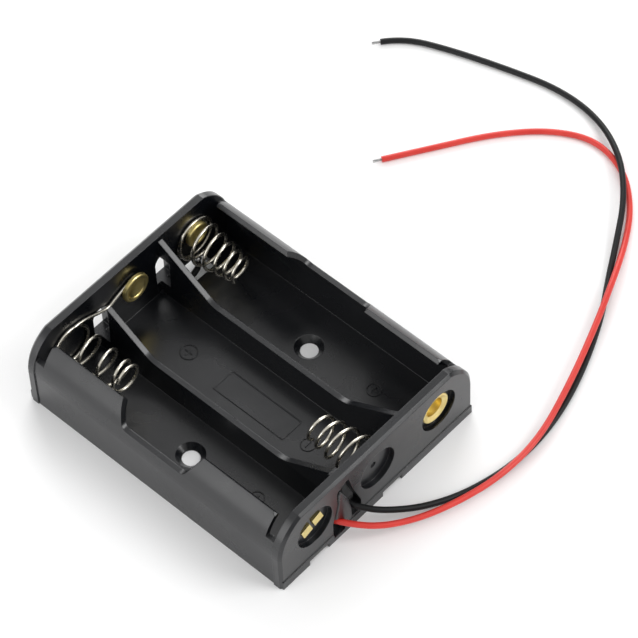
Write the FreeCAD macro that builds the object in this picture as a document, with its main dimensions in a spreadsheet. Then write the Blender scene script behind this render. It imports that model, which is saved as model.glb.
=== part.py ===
import FreeCAD, Part
import math
import os
import Sketcher
from FreeCAD import Placement, Rotation, Vector

# Three-bay holder for AA cells, in millimetres. X runs along the cells, Y across the bays, Z up.
# The origin is the centre of the footprint, on the surface that the holder stands on.
# Bay one is at the front (-Y), bay two in the middle, bay three at the back (+Y).
# The far end wall is at -X, the near end wall with the leads is at +X.

SIZES = {
    "holder_length": 57.5,
    "holder_width": 46.8,
    "holder_height": 15.8,
    "end_wall": 1.8,
    "rim_bevel": 0.5,
    "floor_thickness": 1.2,
    "side_wall": 0.95,
    "side_inset": 0.2,
    "bay_pitch": 15.0,
    "shoulder_height": 8.2,
    "shoulder_angle": 67.9,
    "lip_angle": 55.0,
    "side_edge_height": 11.0,
    "lip_edge_height": 15.2,
    "grip_half_width": 6.8,
    "grip_slant": 2.4,
    "lip_slot": 1.95,
    "lip_slot_floor": 11.4,
    "divider_top_width": 1.0,
    "divider_base_width": 1.7,
    "divider_low_height": 6.9,
    "divider_end_height": 14.65,
    "divider_ramp_start": 15.0,
    "divider_ramp_radius": 5.0,
    "notch_length": 2.4,
    "near_notch_length": 0.8,
    "link_window_width": 3.5,
    "link_window_floor": 3.9,
    "link_window_top": 10.5,
    "skirt_height": 1.9,
    "skirt_proud": 0.15,
    "vent_width": 4.6,
    "vent_height": 1.1,
    "vent_one_place": -14.5,
    "vent_two_place": 3.2,
    "back_vent_width": 6.4,
    "back_vent_height": 2.5,
    "back_vent_place": 14.0,
    "exit_foot_side": 3.4,
    "exit_heel_side": 3.3,
    "exit_sill": 1.0,
    "exit_ledge": 2.5,
    "exit_foot_height": 4.9,
    "exit_neck_height": 9.2,
    "exit_neck_side": 1.8,
    "exit_back_side": 2.1,
    "exit_top_drop": 1.8,
    "contact_height": 9.2,
    "far_contact_height": 9.9,
    "recess_diameter": 8.1,
    "recess_depth": 1.0,
    "screw_spacing": 29.0,
    "screw_hole": 3.2,
    "screw_head": 5.2,
    "lead_diameter": 1.1,
    "lead_groove_width": 1.3,
    "lane_inset": 1.4,
    "lead_slot_length": 3.0,
    "lead_slot_end": 17.0,
    "lead_rise_slot": 4.6,
    "lead_bend_relief": 0.9,
    "exit_stop_width": 1.8,
    "exit_stop_length": 1.2,
    "wire_diameter": 0.6,
    "spring_height": 8.3,
    "spring_base_radius": 4.1,
    "spring_base_turns": 1.1,
    "spring_gap": 0.06,
    "spring_closed_pitch": 0.85,
    "spring_one_length": 13.3,
    "spring_one_turns": 3.1,
    "spring_one_closed_turns": 1.0,
    "spring_one_tip_radius": 2.7,
    "spring_two_length": 11.7,
    "spring_two_turns": 4.1,
    "spring_two_closed_turns": 0.2,
    "spring_two_tip_radius": 2.5,
    "spring_three_length": 11.6,
    "spring_three_turns": 5.0,
    "spring_three_closed_turns": 0.2,
    "spring_three_tip_radius": 2.25,
    "eyelet_bore": 2.2,
    "eyelet_shank": 3.0,
    "eyelet_head": 5.7,
    "back_eyelet_head": 4.8,
    "eyelet_head_depth": 0.75,
    "eyelet_dish": 3.4,
    "eyelet_tail": 4.2,
    "eyelet_tail_depth": 0.3,
    "cup_bore": 3.8,
    "cup_shank": 4.4,
    "cup_mouth": 4.9,
    "cup_rim": 6.1,
    "cup_rim_depth": 0.45,
    "rivet_fit": 0.03,
    "tab_width": 2.1,
    "tab_length": 1.9,
    "tab_angle": 18.0,
    "tab_fit": 0.05,
    "tab_spacing": 1.0,
    "sheet_brass": 0.4,
    "button_diameter": 6.0,
    "button_rise": 0.9,
    "conductor_diameter": 0.5,
    "tip_length": 1.6,
    "solder_radius": 0.85,
}

doc = FreeCAD.newDocument("cell_holder")
sheet = doc.addObject("Spreadsheet::Sheet", "Sizes")
for row, (alias, number) in enumerate(SIZES.items(), start=1):
    sheet.set(f"A{row}", alias)
    sheet.set(f"B{row}", str(number))
    sheet.setAlias(f"B{row}", alias)
doc.recompute()


def size(alias):
    return float(getattr(sheet, alias))


HALF_LENGTH = size("holder_length") / 2
INNER_END = HALF_LENGTH - size("end_wall")
PITCH = size("bay_pitch")
FLOOR = size("floor_thickness")
SHOULDER = size("shoulder_height")
CLEAR_TOP = 2 * size("holder_height")
SIDE_RADIUS = size("holder_width") / 2 - size("side_inset") - PITCH
END_RADIUS = size("holder_width") / 2 - PITCH
SHOULDER_ANGLE = size("shoulder_angle")
SHOULDER_RISE = (size("holder_height") - SHOULDER) / math.sin(math.radians(SHOULDER_ANGLE))
DIVIDER_Y = PITCH / 2
SPRING_Z = size("spring_height")
WIRE = size("wire_diameter")
LEAD = size("lead_diameter")
TURN_STEPS = 8
PITCH_FADE = 0.25
SPRING_ONE_LEAN = (0.8, 1.1)


# Drawing helpers

def polar(centre, radius, degrees):
    angle = math.radians(degrees)
    return Vector(centre[0] + radius * math.cos(angle), centre[1] + radius * math.sin(angle), 0)


def arc(centre, radius, start, end):
    return Part.Arc(
        polar(centre, radius, start),
        polar(centre, radius, (start + end) / 2),
        polar(centre, radius, end),
    )


def joined(pieces):
    """Close a run of points and arcs with straight lines between them."""
    drawn = []
    ends = []
    for piece in pieces:
        if isinstance(piece, tuple):
            ends.append((Vector(*piece, 0), Vector(*piece, 0)))
        else:
            drawn.append(piece)
            ends.append((piece.StartPoint, piece.EndPoint))
    for (_, end), (start, _) in zip(ends, ends[1:] + ends[:1]):
        if end.distanceToPoint(start) > 1e-6:
            drawn.append(Part.LineSegment(end, start))
    return drawn


def corner(before, point, after, radius):
    """Arc that rounds one corner of an outline, drawn from before to after."""
    here = Vector(*point, 0)
    back = (Vector(*before, 0) - here).normalize()
    ahead = (Vector(*after, 0) - here).normalize()
    half = back.getAngle(ahead) / 2
    reach = radius / math.tan(half)
    bisector = (back + ahead).normalize()
    middle = here + bisector * (radius / math.sin(half) - radius)
    return Part.Arc(here + back * reach, middle, here + ahead * reach)


def origin_plane(body, role):
    return next(plane for plane in body.Origin.OriginFeatures if plane.Role == role)


def sketch_on(body, role, name, outlines=(), offset=None):
    sketch = body.newObject("Sketcher::SketchObject", name)
    sketch.AttachmentSupport = [(origin_plane(body, role), "")]
    sketch.MapMode = "FlatFace"
    if offset:
        sketch.setExpression("AttachmentOffset.Base.z", offset)
    for drawn in outlines:
        sketch.addGeometry(drawn, False)
    return sketch


def add_circle(sketch, across, up, radius):
    """Circle whose centre and radius are expressions on the sheet."""
    index = sketch.addGeometry(Part.Circle(Vector(1, 1, 0), Vector(0, 0, 1), 1), False)
    wanted = (("DistanceX", across), ("DistanceY", up))
    for kind, expression in wanted:
        place = sketch.addConstraint(Sketcher.Constraint(kind, -1, 1, index, 3, 1.0))
        sketch.setExpression(f"Constraints[{place}]", expression)
    place = sketch.addConstraint(Sketcher.Constraint("Radius", index, 1.0))
    sketch.setExpression(f"Constraints[{place}]", radius)


def feature(body, kind, sketch, name, length, middle=False, reverse=False):
    made = body.newObject(kind, name)
    made.Profile = sketch
    made.setExpression("Length", length)
    made.Midplane = middle
    made.Reversed = reverse
    body.Tip = made
    doc.recompute()
    return made


def pad(body, sketch, name, length, middle=False, reverse=False):
    return feature(body, "PartDesign::Pad", sketch, name, length, middle, reverse)


def pocket(body, sketch, name, length, middle=False, reverse=False):
    before = body.Shape.Volume
    made = feature(body, "PartDesign::Pocket", sketch, name, length, middle, reverse)
    if body.Shape.Volume > before - 1e-4:
        raise RuntimeError(f"{name} cuts nothing")
    return made


def new_body(label):
    body = doc.addObject("PartDesign::Body", label)
    body.Label = label
    return body


def rectangle(left, bottom, right, top):
    return joined([(left, bottom), (right, bottom), (right, top), (left, top)])


# Housing

def shoulder_point(side, inside, reach, turn):
    """Point of a shoulder's curve; inside is the distance in from the outer surface."""
    angle = math.radians(turn)
    return Vector(
        side * (PITCH + (reach - inside) * math.cos(angle)),
        SHOULDER + (SHOULDER_RISE - inside) * math.sin(angle), 0,
    )


def shoulder_curve(side, inside, reach, turn):
    """The curve from the upright side (turn 0) up to this turn, anticlockwise on both sides."""
    ends = (0, turn) if side > 0 else (turn, 0)
    return Part.Arc(
        shoulder_point(side, inside, reach, ends[0]),
        shoulder_point(side, inside, reach, turn / 2),
        shoulder_point(side, inside, reach, ends[1]),
    )


def outer_profile(reach):
    """Section of the holder: flat base, upright sides, rounded shoulders and a flat top."""
    half = PITCH + reach
    return joined([
        (-half, 0.0),
        (half, 0.0),
        shoulder_curve(1, 0, reach, SHOULDER_ANGLE),
        shoulder_curve(-1, 0, reach, SHOULDER_ANGLE),
    ])


def cavity_profile():
    """Space for the cells, open at the top between the curled lips."""
    wall = size("side_wall")
    half = PITCH + SIDE_RADIUS - wall
    lip = size("lip_angle")
    edge = shoulder_point(1, -wall, SIDE_RADIUS, lip)
    return joined([
        (-half, FLOOR),
        (half, FLOOR),
        shoulder_curve(1, wall, SIDE_RADIUS, lip),
        (edge.x, edge.y),
        (edge.x, CLEAR_TOP),
        (-edge.x, CLEAR_TOP),
        (-edge.x, edge.y),
        shoulder_curve(-1, wall, SIDE_RADIUS, lip),
    ])


def grip_outline():
    """Finger gap in each side wall, with slanted ends up to the lips."""
    low = (size("grip_half_width"), size("side_edge_height"))
    high = (low[0] + size("grip_slant"), size("lip_edge_height"))
    above = (high[0] + 1.0, CLEAR_TOP)
    foot = 1.6
    return joined([
        corner((-high[0], high[1]), (-low[0], low[1]), low, foot),
        corner((-low[0], low[1]), low, high, foot),
        high,
        above,
        (-above[0], above[1]),
        (-high[0], high[1]),
    ])


def lip_slot_outline(side):
    """Gap between a lip and an end wall; the lip's top corner is rounded."""
    wall = side * INNER_END
    lip = side * (INNER_END - size("lip_slot"))
    past = side * (INNER_END - size("lip_slot") - 1.2)
    return joined([
        (lip, size("lip_slot_floor")),
        (wall, size("lip_slot_floor")),
        (wall, CLEAR_TOP),
        (past, CLEAR_TOP),
        (past, size("lip_edge_height")),
        (lip, size("lip_edge_height") - 0.7),
    ])


def divider_section(side):
    middle = side * DIVIDER_Y
    base = size("divider_base_width") / 2
    top = size("divider_top_width") / 2
    waist = size("divider_low_height")
    return joined([
        (middle - base, FLOOR / 2),
        (middle + base, FLOOR / 2),
        (middle + base, FLOOR),
        (middle + top, waist),
        (middle + top, size("divider_end_height")),
        (middle - top, size("divider_end_height")),
        (middle - top, waist),
        (middle - base, FLOOR),
    ])


def divider_crest():
    """What is cut off the dividers: low in the middle, ramping up to the end walls."""
    start = (size("divider_ramp_start"), size("divider_low_height"))
    end = (INNER_END, size("divider_end_height"))
    bend = size("divider_ramp_radius")
    return joined([
        corner((-end[0], end[1]), (-start[0], start[1]), start, bend),
        corner((-start[0], start[1]), start, end, bend),
        end,
        (INNER_END, CLEAR_TOP),
        (-INNER_END, CLEAR_TOP),
        (-end[0], end[1]),
    ])


def link_window(side):
    """Round-topped window in the far wall beside a divider's end."""
    middle = side * DIVIDER_Y
    half = size("link_window_width") / 2
    spring_line = size("link_window_top") - half
    return joined([
        (middle - half, size("link_window_floor")),
        (middle + half, size("link_window_floor")),
        arc((middle, spring_line), half, 0, 180),
    ])


def lead_window():
    """Waisted window in the near wall: both leads leave through its wide foot."""
    middle = -DIVIDER_Y
    foot = middle - size("exit_foot_side")
    heel = middle + size("exit_heel_side")
    ledge = size("exit_ledge")
    knee = size("exit_foot_height")
    right_neck = (middle + size("exit_neck_side"), size("exit_neck_height"))
    left_neck = (middle - size("exit_back_side"), size("exit_neck_height"))
    peak = (middle + size("exit_neck_side") / 3, size("holder_height") - size("exit_top_drop"))
    brow = (left_neck[0], (3 * peak[1] + knee) / 4 + size("exit_sill"))
    return joined([
        (foot, size("exit_sill")),
        (middle - size("exit_stop_width") / 2, size("exit_sill")),
        (middle - size("exit_stop_width") / 4, ledge),
        (heel, ledge),
        (heel, knee),
        right_neck,
        corner(right_neck, peak, brow, 0.5),
        corner(peak, brow, left_neck, 0.8),
        left_neck,
        (foot, knee),
    ])


def edges_on_end_faces(shape):
    """Outer edges of both end faces, apart from the bottom ones."""
    names = []
    for index, edge in enumerate(shape.Edges, start=1):
        box = edge.BoundBox
        at_end = min(abs(box.XMin), abs(box.XMax)) > HALF_LENGTH - 1e-4
        if at_end and box.ZMax > 1e-3:
            names.append(f"Edge{index}")
    return names


def make_housing():
    body = new_body("housing")

    trough = sketch_on(body, "YZ_Plane", "trough_section", [outer_profile(SIDE_RADIUS)])
    pad(body, trough, "trough", "Sizes.holder_length - Sizes.end_wall", middle=True)
    for side, name in ((1, "near"), (-1, "far")):
        section = sketch_on(
            body, "YZ_Plane", f"{name}_wall_section", [outer_profile(END_RADIUS)],
            offset=f"{side} * Sizes.holder_length / 2",
        )
        pad(body, section, f"{name}_wall", "Sizes.end_wall", reverse=side > 0)

    walls = body.Tip
    bevel = body.newObject("PartDesign::Chamfer", "rim_bevel")
    bevel.Base = (walls, edges_on_end_faces(walls.Shape))
    bevel.setExpression("Size", "Sizes.rim_bevel")
    body.Tip = bevel
    doc.recompute()

    for side, name in ((1, "near"), (-1, "far")):
        half = size("holder_width") / 2 - 0.3
        strip = sketch_on(
            body, "YZ_Plane", f"{name}_skirt_outline",
            [rectangle(-half, 0.0, half, size("skirt_height"))],
            offset=f"{side} * (Sizes.holder_length / 2 - Sizes.end_wall / 2)",
        )
        pad(body, strip, f"{name}_skirt", "Sizes.end_wall / 2 + Sizes.skirt_proud", reverse=side < 0)

    cavity = sketch_on(body, "YZ_Plane", "cavity_section", [cavity_profile()])
    pocket(body, cavity, "cavity", "Sizes.holder_length - 2 * Sizes.end_wall", middle=True)
    gaps = sketch_on(
        body, "XZ_Plane", "side_gap_outline",
        [grip_outline(), lip_slot_outline(1), lip_slot_outline(-1)],
    )
    pocket(body, gaps, "side_gaps", "Sizes.holder_width + 2", middle=True)

    dividers = sketch_on(
        body, "YZ_Plane", "divider_section", [divider_section(1), divider_section(-1)]
    )
    pad(body, dividers, "dividers", "Sizes.holder_length - Sizes.end_wall", middle=True)
    crest = sketch_on(body, "XZ_Plane", "divider_crest_outline", [divider_crest()])
    pocket(body, crest, "divider_crests", "Sizes.bay_pitch + 2 * Sizes.divider_base_width", middle=True)

    half = size("divider_base_width") / 2 + 0.1
    notches = []
    for side, length in ((-1, size("notch_length")), (1, size("near_notch_length"))):
        ends = sorted((side * INNER_END, side * (INNER_END - length)))
        notches.append(rectangle(ends[0], side * DIVIDER_Y - half, ends[1], side * DIVIDER_Y + half))
    notch = sketch_on(
        body, "XY_Plane", "link_notch_outline", notches, offset="Sizes.link_window_floor"
    )
    pocket(body, notch, "link_notches", "Sizes.holder_height", reverse=True)

    stop = sketch_on(
        body, "YZ_Plane", "exit_stop_section",
        [rectangle(
            -DIVIDER_Y - size("exit_stop_width") / 2, FLOOR / 2,
            -DIVIDER_Y + size("exit_stop_width") / 2, size("divider_end_height") - 0.6,
        )],
        offset="Sizes.holder_length / 2 - Sizes.end_wall / 2",
    )
    pad(body, stop, "exit_stop", "Sizes.exit_stop_length + Sizes.end_wall / 2", reverse=True)

    windows = sketch_on(
        body, "YZ_Plane", "link_window_outline", [link_window(1), link_window(-1)],
        offset="-Sizes.holder_length / 2",
    )
    pocket(body, windows, "link_windows", "Sizes.end_wall + Sizes.notch_length - 0.25", reverse=True)
    exit_window = sketch_on(
        body, "YZ_Plane", "lead_window_outline", [lead_window()],
        offset="Sizes.holder_length / 2 + Sizes.skirt_proud",
    )
    pocket(body, exit_window, "lead_window", "Sizes.end_wall + Sizes.skirt_proud")

    for side, name in ((1, "near"), (-1, "far")):
        discs = sketch_on(
            body, "YZ_Plane", f"{name}_recess_outline", offset=f"{side} * Sizes.holder_length / 2"
        )
        height = "Sizes.contact_height" if side > 0 else "Sizes.far_contact_height"
        for bay in (-1, 0, 1):
            add_circle(discs, f"{bay} * Sizes.bay_pitch", height, "Sizes.recess_diameter / 2")
        pocket(body, discs, f"{name}_recesses", "Sizes.recess_depth", reverse=side < 0)
    make_fixing_holes(body)
    make_lead_channel(body)
    return body


def tilted_slit(across, thick, half):
    """Slit for one tab of the front contact, turned with it about the contact's middle."""
    turn = math.radians(size("tab_angle"))
    corners = []
    for x, y in ((across - thick, -half), (across + thick, -half), (across + thick, half), (across - thick, half)):
        corners.append((
            -PITCH + x * math.cos(turn) - y * math.sin(turn),
            size("contact_height") + x * math.sin(turn) + y * math.cos(turn),
        ))
    return joined(corners)


def make_fixing_holes(body):
    """Rivet and tab holes through the end walls, and countersunk screw holes in the floor."""
    far = sketch_on(body, "YZ_Plane", "far_hole_outline", offset="-Sizes.holder_length / 2")
    for place in ("0 mm", "Sizes.bay_pitch"):
        add_circle(far, place, "Sizes.far_contact_height", "Sizes.eyelet_shank / 2 + Sizes.rivet_fit")
    pocket(body, far, "far_holes", "Sizes.end_wall", reverse=True)

    near = sketch_on(body, "YZ_Plane", "near_hole_outline", offset="Sizes.holder_length / 2")
    add_circle(near, "Sizes.bay_pitch", "Sizes.contact_height", "Sizes.cup_shank / 2 + Sizes.rivet_fit")
    add_circle(near, "0 mm", "Sizes.contact_height", "Sizes.wire_diameter")
    half = size("tab_width") / 2 + size("tab_fit")
    thick = size("sheet_brass") / 2 + size("tab_fit")
    for side in (-1, 1):
        near.addGeometry(tilted_slit(side * size("tab_spacing") / 2, thick, half), False)
    pocket(body, near, "near_holes", "Sizes.end_wall")

    screws = sketch_on(body, "XY_Plane", "screw_hole_outline", offset="Sizes.floor_thickness")
    for side in (-1, 1):
        add_circle(screws, "0 mm", f"{side} * Sizes.screw_spacing / 2", "Sizes.screw_hole / 2")
    doc.recompute()
    hole = body.newObject("PartDesign::Hole", "screw_holes")
    hole.Profile = screws
    hole.ThreadType = "None"
    hole.setExpression("Diameter", "Sizes.screw_hole")
    hole.DepthType = "ThroughAll"
    hole.HoleCutType = "Countersink"
    hole.HoleCutCustomValues = True
    hole.setExpression("HoleCutDiameter", "Sizes.screw_head")
    hole.HoleCutCountersinkAngle = 90
    body.Tip = hole
    doc.recompute()


def make_lead_channel(body):
    """Slots in the floor and a groove under the back divider, where the black lead is laid."""
    far_end = -INNER_END
    slot_start = DIVIDER_Y + size("divider_base_width") / 2
    rise_end = DIVIDER_Y - size("divider_base_width") / 2
    relief = size("lead_bend_relief")
    slots = sketch_on(
        body, "XY_Plane", "lead_slot_outline",
        [
            rectangle(far_end, slot_start, far_end + size("lead_slot_length"), size("lead_slot_end")),
            rectangle(
                INNER_END - size("lead_slot_length"), rise_end - size("lead_rise_slot"),
                INNER_END, rise_end,
            ),
        ],
        offset="Sizes.floor_thickness",
    )
    pocket(body, slots, "lead_slots", "Sizes.floor_thickness")

    half = size("lead_groove_width") / 2
    lane_far = far_end + size("lane_inset") - half
    lane_near = INNER_END - size("lane_inset") + half
    groove = sketch_on(
        body, "XY_Plane", "lead_groove_outline",
        [joined([
            (lane_far, DIVIDER_Y - half),
            (lane_near - 2 * half - relief, DIVIDER_Y - half),
            (lane_near - 2 * half, DIVIDER_Y - half - relief),
            (lane_near - 2 * half, rise_end - relief),
            (lane_near, rise_end - relief),
            (lane_near, DIVIDER_Y + half),
            (lane_far + 2 * half + relief, DIVIDER_Y + half),
            (lane_far + 2 * half, DIVIDER_Y + half + relief),
            (lane_far + 2 * half, slot_start + relief),
            (lane_far, slot_start + relief),
        ])],
    )
    pocket(body, groove, "lead_groove", "Sizes.lead_diameter + 0.1", reverse=True)

    vents = []
    for place in ("vent_one_place", "vent_two_place"):
        middle = size(place)
        wide = size("vent_width") / 2
        vents.append(rectangle(middle - wide, -0.5, middle + wide, size("vent_height")))
    vent = sketch_on(
        body, "YZ_Plane", "vent_outline", vents, offset="Sizes.holder_length / 2 + Sizes.skirt_proud"
    )
    pocket(body, vent, "vents", "Sizes.end_wall / 2 + Sizes.skirt_proud")
    half = size("back_vent_width") / 2
    middle = size("back_vent_place")
    back_vent = sketch_on(
        body, "YZ_Plane", "back_vent_outline",
        [rectangle(middle - half, -0.5, middle + half, size("back_vent_height"))],
        offset="-Sizes.holder_length / 2 - Sizes.skirt_proud",
    )
    pocket(body, back_vent, "back_vent", "Sizes.end_wall + Sizes.skirt_proud", reverse=True)


# Brass contacts, each turned about its own X axis, which points into the bay

def turned(label, profile, place, facing):
    body = new_body(label)
    sketch = sketch_on(body, "XY_Plane", f"{label}_profile", [profile])
    doc.recompute()
    revolution = body.newObject("PartDesign::Revolution", f"{label}_turned")
    revolution.Profile = sketch
    revolution.ReferenceAxis = (sketch, ["H_Axis"])
    revolution.Angle = 360
    body.Tip = revolution
    set_place(body, place, Rotation(Vector(0, 0, 1), 0 if facing > 0 else 180))
    return body


def set_place(body, place, rotation=Rotation()):
    body.Placement = Placement(Vector(), rotation)
    for axis, expression in zip("xyz", place):
        body.setExpression(f".Placement.Base.{axis}", expression)


def eyelet_profile(head_diameter, web, under):
    """Hollow rivet with a dished head: half section from the outside of the wall to the bay."""
    bore = size("eyelet_bore") / 2
    shank = size("eyelet_shank") / 2
    tail = size("eyelet_tail") / 2
    head = head_diameter / 2
    dish = size("eyelet_dish") / 2 * head_diameter / size("eyelet_head")
    face = under + size("eyelet_head_depth")
    floor = under + size("eyelet_head_depth") / 4
    back = -web - size("eyelet_tail_depth")
    edge = face - size("eyelet_head_depth") / 3
    return joined([
        (back, bore),
        (under - 0.1, bore),
        (under - 0.1, 0.0),
        Part.Arc(Vector(floor, 0, 0), Vector(floor + 0.08, dish * 0.6, 0), Vector(floor + 0.25, dish, 0)),
        Part.Arc(Vector(edge, dish + 0.2, 0), Vector(face, (dish + 0.2 + head) / 2, 0), Vector(edge, head, 0)),
        (under, head),
        (under, shank),
        (-web, shank),
        (-web, tail),
        (back, tail - 0.2),
    ])


def cup_profile(web, under):
    """Hollow contact: closed in the bay, with a flared and rounded mouth outside."""
    bore = size("cup_bore") / 2
    shank = size("cup_shank") / 2
    rim = size("cup_rim") / 2
    mouth = size("cup_mouth") / 2
    head = size("eyelet_head") / 2
    crown = head * 0.7
    face = under + size("eyelet_head_depth")
    back = -web - size("cup_rim_depth")
    brow = back + 0.15
    return joined([
        (brow, mouth),
        (-web, bore),
        (under - 0.1, bore),
        (under - 0.1, 0.0),
        Part.Arc(Vector(face, 0, 0), Vector(face - 0.05, crown / 2, 0), Vector(face - 0.22, crown, 0)),
        (under + 0.15, head),
        (under, head),
        (under, shank),
        (-web, shank),
        (-web, rim),
        Part.Arc(Vector(brow, rim, 0), Vector(back, (rim + mouth) / 2, 0), Vector(brow, mouth, 0)),
    ])


def make_contacts():
    web = size("end_wall") - size("recess_depth")
    under = WIRE + 2 * size("spring_gap")
    far_wall = "Sizes.end_wall - Sizes.holder_length / 2"
    near_wall = "Sizes.holder_length / 2 - Sizes.end_wall"
    far_height = "Sizes.far_contact_height"

    eyelet = eyelet_profile(size("eyelet_head"), web, under)
    turned("contact_bay_two", eyelet, (far_wall, "0 mm", far_height), 1)
    back_eyelet = eyelet_profile(size("back_eyelet_head"), web, under)
    turned("rivet_bay_three", back_eyelet, (far_wall, "Sizes.bay_pitch", far_height), 1)
    cup = cup_profile(web, under)
    turned("contact_bay_three", cup, (near_wall, "Sizes.bay_pitch", "Sizes.contact_height"), -1)
    make_tabbed_contact(near_wall)


def make_tabbed_contact(near_wall):
    """Pressed brass button whose two tabs pass through the wall and are folded over outside."""
    thick = size("sheet_brass")
    disc = size("button_diameter") / 2
    rise = size("button_rise")
    button = joined([
        (0.02, 0.0),
        (rise, 0.0),
        Part.Arc(
            Vector(rise, 0.8, 0),
            Vector(rise * 0.8, 1.25, 0),
            Vector(thick, 1.5, 0),
        ),
        (thick, disc),
        (0.02, disc),
    ])
    place = (near_wall, "-Sizes.bay_pitch", "Sizes.contact_height")
    body = turned("contact_bay_one", button, place, -1)
    body.Placement.Rotation = Rotation(Vector(1, 0, 0), size("tab_angle")) * body.Placement.Rotation
    half = size("tab_width") / 2
    blades = []
    folds = []
    for side in (-1, 1):
        across = side * size("tab_spacing") / 2
        outer = across + side * size("tab_length")
        ends = sorted((across - side * thick / 2, outer))
        blades.append(rectangle(across - thick / 2, -half, across + thick / 2, half))
        folds.append(rectangle(ends[0], -half, ends[1], half))
    root = sketch_on(body, "YZ_Plane", "tab_section", blades, offset="Sizes.sheet_brass / 2")
    pad(
        body, root, "tabs",
        "Sizes.end_wall - Sizes.recess_depth + 1.5 * Sizes.sheet_brass + 0.03", reverse=True,
    )
    fold = sketch_on(
        body, "YZ_Plane", "fold_section", folds,
        offset="Sizes.recess_depth - Sizes.end_wall - 0.03",
    )
    pad(body, fold, "folds", "Sizes.sheet_brass", reverse=True)


# Bent wire and cord

def bent_path(route, share):
    """Straight runs joined by tangent arcs, which take this share of the shorter run."""
    points = [Vector(*point) for point in route]
    edges = []
    radii = []
    last = points[0]
    for before, here, after in zip(points, points[1:], points[2:]):
        back = before - here
        ahead = after - here
        reach = share * min(back.Length, ahead.Length)
        turn = math.pi - back.getAngle(ahead)
        radius = reach / math.tan(turn / 2)
        back.normalize()
        ahead.normalize()
        start = here + back * reach
        end = here + ahead * reach
        inward = (back + ahead).normalize()
        middle = here + inward * (radius / math.cos(turn / 2) - radius)
        edges.append(Part.LineSegment(last, start).toShape())
        edges.append(Part.Arc(start, middle, end).toShape())
        radii.append(radius)
        last = end
    edges.append(Part.LineSegment(last, points[-1]).toShape())
    return Part.Wire(edges), radii


def make_tube(label, route, diameter_name, share=0.45):
    path, radii = bent_path(route, share)
    diameter = size(diameter_name)
    heading = Vector(*route[1]) - Vector(*route[0])
    ring = Part.Wire([Part.Circle(Vector(*route[0]), heading, diameter / 2).toShape()])
    solid = path.makePipeShell([ring], True, False)
    expected = math.pi * diameter ** 2 / 4 * path.Length
    rounded = ", ".join(f"{radius:.1f}" for radius in radii)
    print(f"{label}: length {path.Length:.1f} mm, radii {rounded}")
    print(f"{label}: volume {solid.Volume:.2f} of {expected:.2f} mm3")
    made = doc.addObject("Part::Feature", label)
    made.Label = label
    made.Shape = solid
    return made


# Springs: one wire each, from the clamped end through the base coil to the free end

def ring_corner(centre, radius, degrees, along):
    """Corner of a polygon drawn round a circle; arcs through its sides' middles follow the circle."""
    angle = math.radians(degrees)
    outside = radius / math.cos(math.pi / TURN_STEPS)
    return (along, centre[0] + outside * math.cos(angle), centre[1] + outside * math.sin(angle))


def coil_corners(bay, hand, lean=(0.0, 0.0)):
    """Base coil against the wall, then turns that narrow and close up towards the free end."""
    start = size("spring_gap") + WIRE / 2
    base_turns = size("spring_base_turns")
    turns = size(f"spring_{bay}_turns")
    closed_turns = size(f"spring_{bay}_closed_turns")
    pitch = size("spring_closed_pitch")
    length = size(f"spring_{bay}_length")
    open_length = length - WIRE / 2 - pitch * closed_turns - start
    base = size("spring_base_radius")
    tip = size(f"spring_{bay}_tip_radius")
    corners = []
    for step in range(1, round(TURN_STEPS * (base_turns + turns + closed_turns)) + 1):
        turn = step / TURN_STEPS
        share = min(max(turn - base_turns, 0.0) / turns, 1.0)
        along = start + open_length * share * (1 + PITCH_FADE * (1 - share))
        along += pitch * max(turn - base_turns - turns, 0.0)
        centre = (lean[0] * along / length, lean[1] * along / length)
        corners.append(ring_corner(centre, base + (tip - base) * share, 90 + hand * 360 * turn, along))
    return corners


def shank_loop(centre, radius, start_degrees, end_degrees):
    """Flat loop of the wire round a rivet's shank, under its head."""
    count = abs(end_degrees - start_degrees) // (360 // TURN_STEPS)
    along = size("spring_gap") + WIRE / 2
    return [
        ring_corner(centre, radius, start_degrees + (end_degrees - start_degrees) * step / count, along)
        for step in range(count + 1)
    ]


def make_spring(label, corners, place, facing):
    made = make_tube(label, corners, "wire_diameter", 0.499)
    set_place(made, place, Rotation(Vector(0, 0, 1), 0 if facing > 0 else 180))


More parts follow.
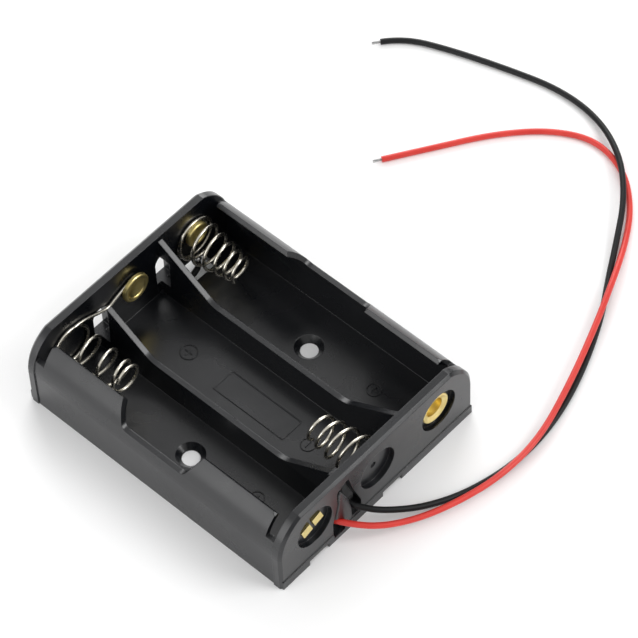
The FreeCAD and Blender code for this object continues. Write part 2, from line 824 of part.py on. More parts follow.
def make_springs():
    far_wall = "Sizes.end_wall - Sizes.holder_length / 2"
    near_wall = "Sizes.holder_length / 2 - Sizes.end_wall"
    along = size("spring_gap") + WIRE / 2
    base = size("spring_base_radius")
    loop = size("eyelet_shank") / 2 + along

    # Bay one: clamped under the eyelet of bay two, over the notch in the front divider.
    rise = size("far_contact_height") - SPRING_Z
    link = shank_loop((PITCH, rise), loop, -180, 90)
    link += [
        (along, PITCH - 4.2, rise + 0.5),
        (along, PITCH - 5.9, rise - 0.4),
        (along, PITCH - 8.6, rise + 0.7),
        (along, PITCH - 12.4, base - 0.1),
    ]
    make_spring(
        "spring_bay_one", link + coil_corners("one", 1, SPRING_ONE_LEAN),
        (far_wall, "-Sizes.bay_pitch", "Sizes.spring_height"), 1,
    )

    # Bay two: clamped under the hollow contact of bay three, over the notch in the back divider.
    rise = size("contact_height") - SPRING_Z
    link = shank_loop((-PITCH, rise), size("cup_shank") / 2 + along, 360, 90)
    link += [
        (along, -PITCH + 3.8, rise + 2.0),
        (along, -PITCH + 6.4, rise + 1.2),
        (along, -PITCH + 9.2, rise + 2.0),
        (along, -PITCH + 12.4, base - 0.1),
    ]
    make_spring(
        "spring_bay_two", link + coil_corners("two", -1),
        (near_wall, "0 mm", "Sizes.spring_height"), -1,
    )

    # Bay three: its wire winds outwards from the eyelet.
    rise = size("far_contact_height") - SPRING_Z
    corners = shank_loop((0.0, rise), loop, -360, -90)
    for step in range(1, 5):
        share = step / 4
        corners.append(ring_corner(
            (0.0, rise * (1 - share)), loop + (base - loop) * share, -90 + 180 * share, along
        ))
    make_spring(
        "spring_bay_three", corners + coil_corners("three", 1),
        (far_wall, "Sizes.bay_pitch", "Sizes.spring_height"), 1,
    )


# Leads

BLACK_ROUTE = [
    (-0.85, -5.6, 4.25), (1.65, -4.6, 3.9), (4.95, -1, 2.9), (7.85, 3.6, 1.8),
    (10.55, 10.4, 0.8), (12.55, 19.6, 0.6), (12.25, 29.4, 0.6), (9.55, 39.8, 0.6),
    (4.65, 51.2, 0.6), (-0.35, 59.4, 0.6), (-3.95, 65.8, 1.2), (-8.35, 73.2, 1.85),
    (-14.75, 80, 1.85), (-23.55, 84.8, 0.8), (-33.35, 85.6, 0.6), (-43.75, 83, 0.6),
    (-54.15, 79.8, 0.6), (-62.35, 76.4, 0.6), (-64.95, 73, 0.6),
]
RED_ROUTE = [
    (-0.85, -9.45, 3.7), (1.65, -8.2, 3.6), (5.25, -5, 3), (8.25, 0.2, 2.2),
    (10.65, 6.4, 1.85), (12.85, 15, 1.85), (12.95, 25, 1.85), (9.85, 36.2, 1.85),
    (5.55, 48.2, 1.85), (1.15, 58.8, 1.85), (-2.75, 66.8, 0.7), (-6.95, 73.4, 0.6),
    (-12.95, 78.8, 0.6), (-20.95, 81, 0.6), (-28.55, 77.5, 0.6), (-35.45, 70.4, 0.6),
    (-41.25, 61.5, 0.6), (-46.75, 53, 0.6),
]
LANE = INNER_END - size("lane_inset")
LANE_Z = LEAD / 2 + 0.07
BLACK_LAID = [
    (-LANE - 0.55, PITCH - 0.4, 3.0), (-LANE - 0.05, PITCH - 0.6, 1.5),
    (-LANE, PITCH - 2.4, LANE_Z), (-LANE, DIVIDER_Y, LANE_Z),
    (LANE, DIVIDER_Y, LANE_Z), (LANE, DIVIDER_Y - 2.3, LANE_Z + 0.13),
    (LANE + 0.65, DIVIDER_Y - 4.9, 1.85), (LANE + 0.65, -DIVIDER_Y + 1.9, 1.85),
]
RED_LAID = [(LANE + 0.1, -PITCH + 2.5, 6.7), (LANE + 0.25, -PITCH + 3.6, 4.7)]
EXIT_RUN = 1.6


def from_near_face(route):
    """Route of a free lead, whose points are drawn from the near wall's outer face."""
    return [(HALF_LENGTH + x, y, z) for x, y, z in route]


def laid_route(laid, free):
    """Fixed part of a lead inside the holder, ending in line with the free part's first run."""
    start = Vector(*free[0])
    heading = (Vector(*free[1]) - start).normalize()
    return laid + [tuple(start - heading * EXIT_RUN), tuple(start)]


def make_tip(label, route):
    """Bare twisted end of a lead, straight on from the insulation."""
    end = Vector(*route[-1])
    heading = (end - Vector(*route[-2])).normalize()
    tip = doc.addObject("Part::Cylinder", label)
    tip.Label = label
    tip.setExpression("Radius", "Sizes.conductor_diameter / 2")
    tip.setExpression("Height", "Sizes.tip_length")
    tip.Placement = Placement(end, Rotation(Vector(0, 0, 1), heading))


def make_solder(label, route):
    """Solder drop over the inner end of a lead, flat where it meets the insulation."""
    end = Vector(*route[0])
    heading = (end - Vector(*route[1])).normalize()
    drop = doc.addObject("Part::Sphere", label)
    drop.Label = label
    drop.setExpression("Radius", "Sizes.solder_radius")
    drop.Angle1 = 0
    drop.Placement = Placement(end, Rotation(Vector(0, 0, 1), heading))


def make_leads():
    routes = (
        ("black_lead", from_near_face(BLACK_ROUTE), BLACK_LAID),
        ("red_lead", from_near_face(RED_ROUTE), RED_LAID),
    )
    for name, free, laid in routes:
        make_tube(name, free, "lead_diameter")
        make_tube(f"{name}_inner", laid_route(laid, free), "lead_diameter")
        make_solder(name.replace("lead", "solder_joint"), laid)
        make_tip(f"{name}_tip", free)


make_housing()
make_contacts()
make_springs()
make_leads()
doc.recompute()

os.makedirs("parts", exist_ok=True)
faults = [item.Label for item in doc.Objects if {"Invalid", "Error"} & set(item.State)]
if faults:
    raise RuntimeError(f"objects with errors: {', '.join(faults)}")
nodes = [item for item in doc.RootObjects if item is not sheet]
for item in nodes:
    shape = item.Shape
    if shape.isNull() or not shape.isValid() or len(shape.Solids) != 1:
        raise RuntimeError(f"{item.Label} is not one valid solid")
for item in nodes:
    item.Shape.exportStep(f"parts/{item.Label}.step")
    box = item.Shape.BoundBox
    print(f"{item.Label}: {box.XLength:.1f} x {box.YLength:.1f} x {box.ZLength:.1f} mm, {item.Shape.Volume:.1f} mm3")
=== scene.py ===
import math

import bpy
from mathutils import Matrix, Vector


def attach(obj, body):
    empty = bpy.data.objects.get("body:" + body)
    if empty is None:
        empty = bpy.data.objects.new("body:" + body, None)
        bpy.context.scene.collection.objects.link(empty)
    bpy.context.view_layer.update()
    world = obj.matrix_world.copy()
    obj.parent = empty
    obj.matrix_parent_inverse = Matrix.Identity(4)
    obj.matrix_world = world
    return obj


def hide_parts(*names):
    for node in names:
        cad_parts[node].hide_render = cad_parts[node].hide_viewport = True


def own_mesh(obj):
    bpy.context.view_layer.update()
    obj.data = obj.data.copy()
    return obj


# Three-bay AA cell holder: moulded tray, brass contacts, nickel springs and two flying leads.
# Metres. X runs along the cells, Y across the bays, Z up. The leads leave at the +X end.

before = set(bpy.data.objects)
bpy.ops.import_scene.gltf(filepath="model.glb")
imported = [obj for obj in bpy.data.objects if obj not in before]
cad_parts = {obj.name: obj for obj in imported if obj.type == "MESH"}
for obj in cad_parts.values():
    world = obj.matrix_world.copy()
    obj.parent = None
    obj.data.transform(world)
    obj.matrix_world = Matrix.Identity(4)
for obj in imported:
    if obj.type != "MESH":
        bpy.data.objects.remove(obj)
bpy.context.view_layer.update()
bpy.ops.object.select_all(action="DESELECT")
print("stage: frame loaded")

holder = {
    "body": "holder",
    "nearFace": 0.02875,  # outer face of the end wall that the leads leave by
    "innerEnd": 0.02695,  # inner face of each end wall, from the middle
    "bayPitch": 0.015,
    "floorTop": 0.0012,
    "springHeight": 0.0083,
    "contactHeight": 0.0092,
    "farContactHeight": 0.0099,
}


# Camera

cameraView = {
    "place": (0.247697, -0.229772, 0.488632),
    "right": (0.737811, 0.674168, -0.033645),
    "up": (-0.531772, 0.611226, 0.586192),
    "lens": 200.0,
    "sensor": 36.0,
    "nearLimit": 0.02,
    "farLimit": 20.0,
}


def placeCamera(view):
    cameraData = bpy.data.cameras.new("photoCamera")
    cameraData.lens = view["lens"]
    cameraData.sensor_width = view["sensor"]
    cameraData.clip_start = view["nearLimit"]
    cameraData.clip_end = view["farLimit"]
    camera = bpy.data.objects.new("photoCamera", cameraData)
    bpy.context.scene.collection.objects.link(camera)
    right = Vector(view["right"]).normalized()
    up = Vector(view["up"]).normalized()
    turned = Matrix((right, up, right.cross(up))).transposed()
    camera.matrix_world = Matrix.Translation(view["place"]) @ turned.to_4x4()
    bpy.context.scene.camera = camera


placeCamera(cameraView)


# Leads: the X of each route's points is counted from the near face of the holder

leadStyle = {
    "diameter": 0.0011,
    "roundness": 6,
    "smoothness": 10,
}
strandStyle = {
    "bareLength": 0.0016,
    "bundle": 0.00050,
    "strand": 0.00016,
    "around": 6,
    "twistPitch": 0.0032,
    "splay": 0.00005,
    "cutLengths": 3,  # the cut ends lie at this many lengths
    "cutStep": 0.04,  # share of the bare length from one cut to the next
    "steps": 6,
    "roundness": 2,
    "smoothness": 3,
}
leads = {
    "blackLead": {
        "node": "black_lead", "length": 0.150, "finish": "black", "slot": "black_insulation",
        "route": [
            (-0.00085, -0.0056, 0.00425), (0.00165, -0.0046, 0.0039), (0.00495, -0.0010, 0.0029),
            (0.00785, 0.0036, 0.0018), (0.01055, 0.0104, 0.0008), (0.01255, 0.0196, 0.0006),
            (0.01225, 0.0294, 0.0006), (0.00955, 0.0398, 0.0006), (0.00465, 0.0512, 0.0006),
            (-0.00035, 0.0594, 0.0006), (-0.00395, 0.0658, 0.0012), (-0.00835, 0.0732, 0.00185),
            (-0.01475, 0.0800, 0.00185), (-0.02355, 0.0848, 0.0008), (-0.03335, 0.0856, 0.0006),
            (-0.04375, 0.0830, 0.0006), (-0.05415, 0.0798, 0.0006), (-0.06235, 0.0764, 0.0006),
            (-0.06495, 0.0730, 0.0006),
        ],
    },
    "redLead": {
        "node": "red_lead", "length": 0.144, "finish": "red", "slot": "red_insulation",
        "route": [
            (-0.00085, -0.00945, 0.0037), (0.00165, -0.0082, 0.0036), (0.00525, -0.0050, 0.0030),
            (0.00825, 0.0002, 0.0022), (0.01065, 0.0064, 0.00185), (0.01285, 0.0150, 0.00185),
            (0.01295, 0.0250, 0.00185), (0.00985, 0.0362, 0.00185), (0.00555, 0.0482, 0.00185),
            (0.00115, 0.0588, 0.00185), (-0.00275, 0.0668, 0.0007), (-0.00695, 0.0734, 0.0006),
            (-0.01295, 0.0788, 0.0006), (-0.02095, 0.0810, 0.0006), (-0.02855, 0.0775, 0.0006),
            (-0.03545, 0.0704, 0.0006), (-0.04125, 0.0615, 0.0006), (-0.04675, 0.0530, 0.0006),
        ],
    },
}


def newCurve(name, points, radius, style):
    curve = bpy.data.curves.new(name, "CURVE")
    curve.dimensions = "3D"
    curve.bevel_depth = 1.0  # each point's own radius then gives the true thickness
    curve.bevel_resolution = style["roundness"]
    curve.use_fill_caps = True
    spline = curve.splines.new("NURBS")
    spline.points.add(len(points) - 1)
    for point, place in zip(spline.points, points):
        point.co = (*place, 1.0)
        point.radius = radius
    spline.order_u = 3  # third order: smooth, and close to its points
    spline.use_endpoint_u = True
    spline.resolution_u = style["smoothness"]
    piece = bpy.data.objects.new(name, curve)
    bpy.context.scene.collection.objects.link(piece)
    return piece


def selectOnly(pieces):
    bpy.ops.object.select_all(action="DESELECT")
    for piece in pieces:
        piece.select_set(True)
    bpy.context.view_layer.objects.active = pieces[0]


def meshFromCurves(pieces, name):
    selectOnly(pieces)
    bpy.ops.object.convert(target="MESH")
    if len(pieces) > 1:
        bpy.ops.object.join()
    bpy.ops.object.shade_smooth()
    made = bpy.context.view_layer.objects.active
    made.name = name
    made.select_set(False)
    return made


def makeStrands(name, node, route, style):
    # One straight strand and six twisted round it, a little loose at their cut ends.
    end, before = Vector(route[-1]), Vector(route[-2])
    forward = (end - before).normalized()
    side = Vector((0, 0, 1)).cross(forward).normalized()
    up = forward.cross(side)
    strands = []
    for number in range(style["around"] + 1):
        reach = (style["bundle"] - style["strand"]) / 2 if number else 0.0
        splay = style["splay"] if number else 0.0
        length = style["bareLength"] * (1 - style["cutStep"] * (number % style["cutLengths"]))
        points = []
        for step in range(style["steps"] + 1):
            share = step / style["steps"]
            turn = number / style["around"] + share * length / style["twistPitch"]
            radius = reach + splay * share ** 2
            points.append(
                end + forward * (length * share)
                + side * (radius * math.cos(math.tau * turn))
                + up * (radius * math.sin(math.tau * turn))
            )
        strands.append(newCurve(f"{name}Strand", points, style["strand"] / 2, style))
    bundle = meshFromCurves(strands, f"{name}Strands")
    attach(bundle, holder["body"])
    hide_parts(f"{node}_tip")
    return bundle


def makeLead(name, lead):
    points = [(holder["nearFace"] + x, y, z) for x, y, z in lead["route"]]
    piece = newCurve(name, points, leadStyle["diameter"] / 2, leadStyle)
    strands = makeStrands(name, lead["node"], points, strandStyle)
    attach(piece, holder["body"])
    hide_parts(lead["node"])
    return piece, strands


leadPieces = {name: makeLead(name, lead) for name, lead in leads.items()}
print("stage: camera and leads")


# Materials: each starts from one noise, which moves its colour between two shades

noiseSpan = (0.3, 0.7)  # the part of its range that a noise mostly covers


def linearColour(code):
    channels = [int(code[i:i + 2], 16) / 255 for i in (1, 3, 5)]
    return [c / 12.92 if c <= 0.04045 else ((c + 0.055) / 1.055) ** 2.4 for c in channels] + [1.0]


def addNode(tree, kind, links=(), inputs=(), **settings):
    node = tree.nodes.new(kind)
    for name, value in settings.items():
        setattr(node, name, value)
    for socket, value in dict(inputs).items():
        node.inputs[socket].default_value = value
    for socket, source in dict(links).items():
        tree.links.new(source, node.inputs[socket])
    return node


def newMaterial(name, **inputs):
    material = bpy.data.materials.new(name)
    material.use_nodes = True
    tree = material.node_tree
    tree.nodes.clear()
    shader = addNode(tree, "ShaderNodeBsdfPrincipled", inputs=inputs)
    addNode(tree, "ShaderNodeOutputMaterial", {"Surface": shader.outputs["BSDF"]})
    return material, tree, shader


def addNoise(tree, noise):
    place = addNode(tree, "ShaderNodeTexCoord")
    node = addNode(
        tree, "ShaderNodeTexNoise", {"Vector": place.outputs["Object"]},
        {"Scale": noise["scale"], "Detail": noise["detail"], "Roughness": noise["roughness"]},
    )
    return node.outputs["Fac"]


def addTone(tree, shader, noise, low, high):
    tone = addNode(tree, "ShaderNodeMix", {"Factor": noise}, data_type="RGBA")
    tone.inputs["A"].default_value = linearColour(low)
    tone.inputs["B"].default_value = linearColour(high)
    tree.links.new(tone.outputs["Result"], shader.inputs["Base Color"])


def addGloss(tree, shader, noise, low, high):
    gloss = addNode(
        tree, "ShaderNodeMapRange", {"Value": noise},
        {"From Min": noiseSpan[0], "From Max": noiseSpan[1], "To Min": low, "To Max": high},
    )
    tree.links.new(gloss.outputs["Result"], shader.inputs["Roughness"])


def addBump(tree, noise, size, **under):
    bump = addNode(
        tree, "ShaderNodeBump", {"Height": noise, **under},
        {"Strength": size["strength"], "Distance": size["depth"]},
    )
    return bump.outputs["Normal"]


styreneLook = {
    "dark": "#05070b",
    "pale": "#0a0c11",
    "polish": 0.20,
    "matt": 0.33,
    "specular": 0.5,
    "refraction": 1.59,
    "flow": {"scale": 60.0, "detail": 4.0, "roughness": 0.55},
    "waves": {"scale": 230.0, "detail": 1.0, "roughness": 0.5, "strength": 1.0, "depth": 0.00004},
    "grain": {"scale": 2600.0, "detail": 2.0, "roughness": 0.5, "strength": 1.0, "depth": 0.000004},
    "edgeRadius": 0.00018,
    "edgeSamples": 6,
}


def mouldedStyrene(look):
    # Black high-impact polystyrene straight from a polished mould: dark mirror-like sheen,
    # broken by shallow waves where the plastic shrank, and by a faint orange-peel grain.
    material, tree, shader = newMaterial(
        "mouldedStyrene", **{"Specular IOR Level": look["specular"], "IOR": look["refraction"]}
    )
    flow = addNoise(tree, look["flow"])
    addTone(tree, shader, flow, look["dark"], look["pale"])
    addGloss(tree, shader, flow, look["polish"], look["matt"])
    edges = addNode(
        tree, "ShaderNodeBevel", inputs={"Radius": look["edgeRadius"]}, samples=look["edgeSamples"]
    )
    waves = addNoise(tree, look["waves"])
    shrunk = addBump(tree, waves, look["waves"], Normal=edges.outputs["Normal"])
    grain = addNoise(tree, look["grain"])
    rough = addBump(tree, grain, look["grain"], Normal=shrunk)
    tree.links.new(rough, shader.inputs["Normal"])
    return material


brassLook = {
    "bright": "#f8e7a6",
    "dull": "#e2cd80",
    "polish": 0.29,
    "matt": 0.48,
    "wear": {"scale": 900.0, "detail": 3.0, "roughness": 0.5, "strength": 0.2, "depth": 0.00003},
}


def pressedBrass(look):
    # Bare rolled brass, pressed and riveted: warm yellow metal with fine drawing marks.
    material, tree, shader = newMaterial("pressedBrass", Metallic=1.0)
    wear = addNoise(tree, look["wear"])
    addTone(tree, shader, wear, look["dull"], look["bright"])
    addGloss(tree, shader, wear, look["matt"], look["polish"])
    tree.links.new(addBump(tree, wear, look["wear"]), shader.inputs["Normal"])
    return material


nickelLook = {
    "bright": "#e9e5d9",
    "dull": "#c9c3b5",
    "polish": 0.20,
    "matt": 0.32,
    "haze": {"scale": 1500.0, "detail": 2.0, "roughness": 0.5},
}


def nickelWire(look):
    # Drawn steel wire with bright nickel plating: warm grey, sharp highlights, slight haze.
    material, tree, shader = newMaterial("nickelWire", Metallic=1.0)
    haze = addNoise(tree, look["haze"])
    addTone(tree, shader, haze, look["dull"], look["bright"])
    addGloss(tree, shader, haze, look["matt"], look["polish"])
    return material


vinylWaves = {"scale": 260.0, "detail": 3.0, "roughness": 0.5, "strength": 0.3, "depth": 0.00008}
redLook = {"dark": "#c5221c", "pale": "#dc4136", "rough": 0.38, "specular": 0.5}
blackLook = {"dark": "#08090a", "pale": "#111214", "rough": 0.46, "specular": 0.3}


def softInsulation(name, look):
    # Extruded soft vinyl: even colour, a waxy half gloss and shallow waves along the wire.
    material, tree, shader = newMaterial(
        name, **{"Roughness": look["rough"], "Specular IOR Level": look["specular"]}
    )
    waves = addNoise(tree, vinylWaves)
    addTone(tree, shader, waves, look["dark"], look["pale"])
    tree.links.new(addBump(tree, waves, vinylWaves), shader.inputs["Normal"])
    return material


solderLook = {
    "dark": "#8f9092",
    "pale": "#c9c9c7",
    "rough": 0.3,
    "pits": {"scale": 1800.0, "detail": 3.0, "roughness": 0.5, "strength": 0.3, "depth": 0.00004},
}


def tinnedMetal(name, look):
    # Tin over copper strands, or a frozen solder drop: soft grey metal, slightly pitted.
    material, tree, shader = newMaterial(name, Metallic=1.0, Roughness=look["rough"])
    pits = addNoise(tree, look["pits"])
    addTone(tree, shader, pits, look["dark"], look["pale"])
    tree.links.new(addBump(tree, pits, look["pits"]), shader.inputs["Normal"])
    return material


finishes = {
    "styrene": mouldedStyrene(styreneLook),
    "brass": pressedBrass(brassLook),
    "nickel": nickelWire(nickelLook),
    "red": softInsulation("redVinyl", redLook),
    "black": softInsulation("blackVinyl", blackLook),
    "tinned": tinnedMetal("tinnedStrands", solderLook),
    "solder": tinnedMetal("solderDrop", solderLook),
}
nodeFinish = {
    "housing": "styrene",
    "contact_bay_one": "brass",
    "contact_bay_two": "brass",
    "contact_bay_three": "brass",
    "rivet_bay_three": "brass",
    "spring_bay_one": "nickel",
    "spring_bay_two": "nickel",
    "spring_bay_three": "nickel",
    "black_lead": "black",
    "red_lead": "red",
    "black_lead_inner": "black",
    "red_lead_inner": "red",
    "black_lead_tip": "tinned",
    "red_lead_tip": "tinned",
    "black_solder_joint": "solder",
    "red_solder_joint": "solder",
}


def dress(piece, finish):
    piece.data.materials.clear()
    piece.data.materials.append(finishes[finish])


for nodeName, finish in nodeFinish.items():
    dress(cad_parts[nodeName], finish)
for name, (piece, strands) in leadPieces.items():
    dress(piece, leads[name]["finish"])
    dress(strands, "tinned")
print("stage: materials")


# Springs: each is one wire, from the loop round an eyelet to the free end of the coil

springWire = {
    "radius": 0.0003,
    "gap": 0.00006,  # between the wire and the wall or the shank
    "baseRadius": 0.0041,
    "baseTurns": 1.1,
    "closedPitch": 0.00085,
    "pitchFade": 0.25,  # the open turns next to the wall stand this much further apart
    "linkReach": 0.0124,  # from the neighbour's eyelet to the start of the base coil
    "linkDrop": 0.0001,
    "pointsPerTurn": 12,
    "loopSteps": 9,
    "spiralSteps": 6,
    "roundness": 3,
    "smoothness": 5,
}
# A link's points are (way back from the neighbour's eyelet, height over that eyelet's axis).
coils = {
    "one": {
        "wall": -1, "bay": -1, "length": 0.0133, "travel": 0.010, "turns": 3.1,
        "closedTurns": 1.0, "tipRadius": 0.0027, "lean": (0.0008, 0.0011),
        "contact": "farContactHeight", "shank": 0.0030, "loop": (-180, 90),
        "link": [(0.0042, 0.0005), (0.0059, -0.0004), (0.0086, 0.0007)],
    },
    "three": {
        "wall": -1, "bay": 1, "length": 0.0116, "travel": 0.0085, "turns": 5.0,
        "closedTurns": 0.2, "tipRadius": 0.00225, "lean": (0.0, 0.0),
        "contact": "farContactHeight", "shank": 0.0030, "loop": (-360, -90),
        "link": [],
    },
    "two": {
        "wall": 1, "bay": 0, "length": 0.0117, "travel": 0.0085, "turns": 4.1,
        "closedTurns": 0.2, "tipRadius": 0.0025, "lean": (0.0, 0.0),
        "contact": "contactHeight", "shank": 0.0044, "loop": (360, 90),
        "link": [(0.0038, 0.0020), (0.0064, 0.0012), (0.0092, 0.0020)],
    },
}


def clampPoints(coil, facing):
    # A loop round the shank of an eyelet, then the way to the base coil: a slack link from the
    # neighbour's eyelet, or half a turn of a spiral where the spring holds on to its own.
    along = springWire["gap"] + springWire["radius"]
    base = springWire["baseRadius"]
    loop = coil["shank"] / 2 + along
    rise = holder[coil["contact"]] - holder["springHeight"]
    away = facing * holder["bayPitch"] if coil["link"] else 0.0
    start, end = coil["loop"]
    points = []
    for step in range(springWire["loopSteps"] + 1):
        angle = math.radians(start + (end - start) * step / springWire["loopSteps"])
        points.append((along, away + loop * math.cos(angle), rise + loop * math.sin(angle)))
    if coil["link"]:
        points += [(along, away - facing * back, rise + lift) for back, lift in coil["link"]]
        reach = away - facing * springWire["linkReach"]
        return points + [(along, reach, base - springWire["linkDrop"])]
    for step in range(1, springWire["spiralSteps"] + 1):
        share = step / springWire["spiralSteps"]
        radius = loop + (base - loop) * share
        angle = math.radians(end + 180 * share)
        height = rise * (1 - share) + radius * math.sin(angle)
        points.append((along, radius * math.cos(angle), height))
    return points


def coilPoints(coil, facing):
    # Base coil against the wall, then turns that narrow and close up towards the free end.
    # A third-order curve runs a little inside its points, so they stand out by that much.
    perTurn = springWire["pointsPerTurn"]
    baseTurns = springWire["baseTurns"]
    baseRadius = springWire["baseRadius"]
    start = springWire["gap"] + springWire["radius"]
    openLength = coil["length"] - springWire["radius"] - start
    openLength -= springWire["closedPitch"] * coil["closedTurns"]
    points = []
    for step in range(1, round(perTurn * (baseTurns + coil["turns"] + coil["closedTurns"])) + 1):
        turn = step / perTurn
        share = min(max(turn - baseTurns, 0.0) / coil["turns"], 1.0)
        along = start + openLength * share * (1 + springWire["pitchFade"] * (1 - share))
        along += springWire["closedPitch"] * max(turn - baseTurns - coil["turns"], 0.0)
        radius = baseRadius + (coil["tipRadius"] - baseRadius) * share
        radius /= (1 + math.cos(math.pi / perTurn)) / 2
        angle = math.radians(90 + facing * 360 * turn)
        leanY, leanZ = (value * along / coil["length"] for value in coil["lean"])
        points.append((along, leanY + radius * math.cos(angle), leanZ + radius * math.sin(angle)))
    return points


def makeSpring(bay, coil):
    facing = -coil["wall"]
    wall = coil["wall"] * holder["innerEnd"]
    place = (wall, coil["bay"] * holder["bayPitch"], holder["springHeight"])
    points = [
        (place[0] + facing * x, place[1] + facing * y, place[2] + z)
        for x, y, z in clampPoints(coil, facing) + coilPoints(coil, facing)
    ]
    piece = newCurve(f"springBay{bay.title()}", points, springWire["radius"], springWire)
    piece = meshFromCurves([piece], piece.name)
    dress(piece, "nickel")
    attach(piece, holder["body"])
    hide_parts(f"spring_bay_{bay}")
    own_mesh(piece)


for bay, coil in coils.items():
    makeSpring(bay, coil)
print("stage: springs")


# Moulded marks: raised lines on the bay floors, drawn as polarity signs and a plain panel edge

floorMarks = {
    "lineWidth": 0.00017,
    "rise": 0.00012,
    "seat": 0.000004,
    "ringPoints": 48,
    "signReach": 0.52,  # half length of a sign's bar, as a share of the ring's radius
    "signs": {
        "plusSignBayTwo": {"place": (-0.0146, 0.0003), "radius": 0.00160, "upright": True},
        "minusSignBayTwo": {"place": (0.0133, -0.0003), "radius": 0.00135, "upright": False},
        "plusSignBayThree": {"place": (0.0142, 0.0151), "radius": 0.00135, "upright": True},
        "plusSignBayOne": {"place": (0.0141, -0.0136), "radius": 0.00135, "upright": True},
    },
    "panel": {"far": -0.0064, "near": 0.0095, "side": 0.0024},
}


def addBar(left, front, low, right, back, high):
    bpy.ops.object.select_all(action="DESELECT")
    bpy.ops.mesh.primitive_cube_add(
        size=1, location=((left + right) / 2, (front + back) / 2, (low + high) / 2),
        scale=(right - left, back - front, high - low),
    )
    bpy.ops.object.transform_apply(location=True, rotation=False, scale=True)
    return bpy.context.object


def extrudeSolid(step):
    # Thickens what is selected in edit mode, and turns the faces of the closed form outwards.
    bpy.ops.mesh.extrude_region_move(TRANSFORM_OT_translate={"value": step})
    bpy.ops.mesh.select_all(action="SELECT")
    bpy.ops.mesh.normals_make_consistent(inside=False)
    bpy.ops.object.mode_set(mode="OBJECT")


def addRing(place, radius, width, low, rise):
    bpy.ops.object.select_all(action="DESELECT")
    bpy.ops.mesh.primitive_circle_add(
        vertices=floorMarks["ringPoints"], radius=radius, fill_type="NGON", location=(*place, low)
    )
    ring = bpy.context.object
    bpy.ops.object.mode_set(mode="EDIT")
    bpy.ops.mesh.select_all(action="SELECT")
    bpy.ops.mesh.inset(thickness=width)
    bpy.ops.mesh.delete(type="FACE")
    bpy.ops.mesh.select_all(action="SELECT")
    extrudeSolid((0, 0, rise))
    return ring


def joinPieces(pieces, name):
    selectOnly(pieces)
    bpy.ops.object.join()
    bpy.ops.object.transform_apply(location=True, rotation=True, scale=True)
    joined = bpy.context.object
    joined.name = name
    return joined


def makeSign(name, sign, look):
    low = holder["floorTop"] + look["seat"]
    high = low + look["rise"]
    x, y = sign["place"]
    half = look["lineWidth"] / 2
    reach = sign["radius"] * look["signReach"]
    pieces = [addRing(sign["place"], sign["radius"], look["lineWidth"], low, look["rise"])]
    pieces.append(addBar(x - half, y - reach, low, x + half, y + reach, high))
    if sign["upright"]:
        pieces.append(addBar(x - reach, y - half, low, x - half, y + half, high))
        pieces.append(addBar(x + half, y - half, low, x + reach, y + half, high))
    return joinPieces(pieces, name)


def makePanel(look):
    low = holder["floorTop"] + look["seat"]
    high = low + look["rise"]
    width = look["lineWidth"]
    far, near, side = (look["panel"][key] for key in ("far", "near", "side"))
    return joinPieces([
        addBar(far, -side, low, near, -side + width, high),
        addBar(far, side - width, low, near, side, high),
        addBar(far, -side + width, low, far + width, side - width, high),
        addBar(near - width, -side + width, low, near, side - width, high),
    ], "panelEdge")


def finishMoulding(piece):
    dress(piece, "styrene")
    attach(piece, holder["body"])


for name, sign in floorMarks["signs"].items():
    finishMoulding(makeSign(name, sign, floorMarks))
finishMoulding(makePanel(floorMarks))


# Web between the two leads: soft edges, its face just proud of the wall around the window

leadWeb = {
    "depth": 0.00075,
    "proud": 0.00010,
    "edge": 0.00028,
    "edgeSteps": 4,
    "smoothAngle": 35,
    "seed": 0.001,  # size of the plane that is merged to the first corner
    "merge": 0.000001,
    "outline": [
        (-0.0094, 0.0118), (-0.0094, 0.0092), (-0.0104, 0.0056), (-0.0092, 0.0050),
        (-0.0086, 0.0040), (-0.0083, 0.0013), (-0.0067, 0.0013), (-0.0064, 0.0030),
        (-0.0065, 0.0054), (-0.0070, 0.0080), (-0.0080, 0.0106), (-0.0088, 0.0124),
    ],
}


def makeLeadWeb(look):
    # One corner is extruded round the web's outline, which is filled, thickened and softened.
    bpy.ops.object.select_all(action="DESELECT")
    front = holder["nearFace"] + look["proud"]
    outline = look["outline"]
    bpy.ops.mesh.primitive_plane_add(size=look["seed"], location=(front, *outline[0]))
    web = bpy.context.object
    bpy.ops.object.mode_set(mode="EDIT")
    bpy.ops.mesh.select_all(action="SELECT")
    bpy.ops.mesh.merge(type="CENTER")
    for (y, z), (nextY, nextZ) in zip(outline, outline[1:] + outline[:1]):
        step = (0, nextY - y, nextZ - z)
        bpy.ops.mesh.extrude_region_move(TRANSFORM_OT_translate={"value": step})
    bpy.ops.mesh.select_all(action="SELECT")
    bpy.ops.mesh.remove_doubles(threshold=look["merge"])
    bpy.ops.mesh.edge_face_add()
    extrudeSolid((-look["depth"], 0, 0))
    bpy.ops.object.transform_apply(location=True, rotation=True, scale=True)
    soft = web.modifiers.new("soft", "BEVEL")
    soft.width = look["edge"]
    soft.segments = look["edgeSteps"]
    soft.limit_method = "ANGLE"
    bpy.ops.object.modifier_apply(modifier="soft")
    bpy.ops.object.shade_smooth_by_angle(angle=math.radians(look["smoothAngle"]))
    web.name = "leadWeb"
    return web


finishMoulding(makeLeadWeb(leadWeb))
print("stage: moulded details")


# Studio

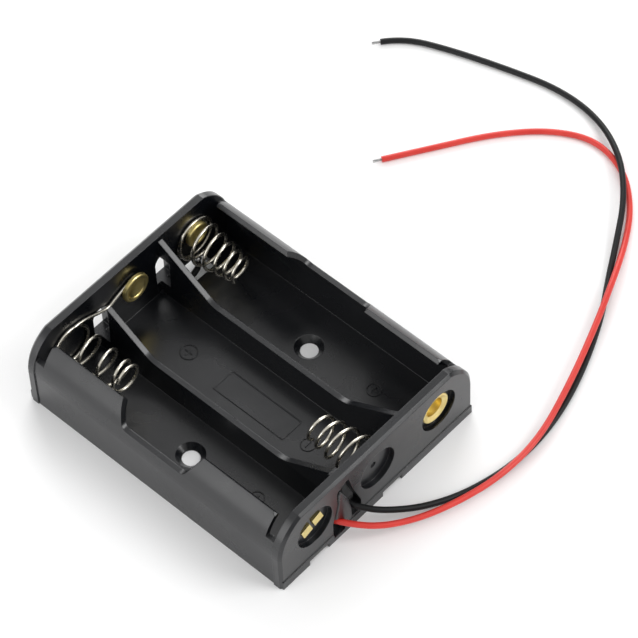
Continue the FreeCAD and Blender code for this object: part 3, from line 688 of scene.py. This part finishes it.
studio = {
    "floorColour": "#fafafa",
    "floorRough": 0.6,
    "floorSpecular": 0.2,
    "floorSize": 3.0,
    "overheadLight": 0.80,
    "horizonLight": 0.30,
    "overheadFrom": 0.8,  # upward share of a direction from which the sky is evenly bright
    "lamps": {
        "keyLamp": {"place": (0.66, 0.44, 0.62), "size": 0.50, "power": 4.2},
        "sideLamp": {"place": (-0.15, -0.90, 0.38), "size": 0.8, "power": 4.6},
        "rearLamp": {"place": (-0.62, 0.66, 0.42), "size": 0.7, "power": 5.8},
    },
}


def makeFloor(look):
    # Plain white paper under the holder: matt, with hardly any sheen.
    bpy.ops.mesh.primitive_plane_add(size=look["floorSize"], location=(0, 0, 0))
    floor = bpy.context.view_layer.objects.active
    floor.name = "floorSheet"
    material, tree, shader = newMaterial("palePaper", **{
        "Base Color": linearColour(look["floorColour"]),
        "Roughness": look["floorRough"],
        "Specular IOR Level": look["floorSpecular"],
    })
    floor.data.materials.append(material)
    floor.select_set(False)


def makeWorld(look):
    world = bpy.data.worlds.new("softStudio")
    bpy.context.scene.world = world
    world.use_nodes = True
    tree = world.node_tree
    tree.nodes.clear()
    place = addNode(tree, "ShaderNodeTexCoord")
    split = addNode(tree, "ShaderNodeSeparateXYZ", {"Vector": place.outputs["Generated"]})
    rise = addNode(
        tree, "ShaderNodeMapRange", {"Value": split.outputs["Z"]},
        {
            "From Min": 0.0, "From Max": look["overheadFrom"],
            "To Min": look["horizonLight"], "To Max": look["overheadLight"],
        },
    )
    around = addNode(
        tree, "ShaderNodeBackground", {"Strength": rise.outputs["Result"]}, {"Color": (1, 1, 1, 1)}
    )
    addNode(tree, "ShaderNodeOutputWorld", {"Surface": around.outputs["Background"]})


def makeLamps(look):
    for name, lamp in look["lamps"].items():
        data = bpy.data.lights.new(name, "AREA")
        data.energy = lamp["power"]
        data.size = lamp["size"]
        light = bpy.data.objects.new(name, data)
        bpy.context.scene.collection.objects.link(light)
        place = Vector(lamp["place"])
        turned = place.to_track_quat("Z", "Y").to_matrix().to_4x4()
        light.matrix_world = Matrix.Translation(place) @ turned


makeFloor(studio)
makeWorld(studio)
makeLamps(studio)
bpy.context.scene.view_settings.view_transform = "Standard"
print("stage: studio")

bpy.context.view_layer.update()
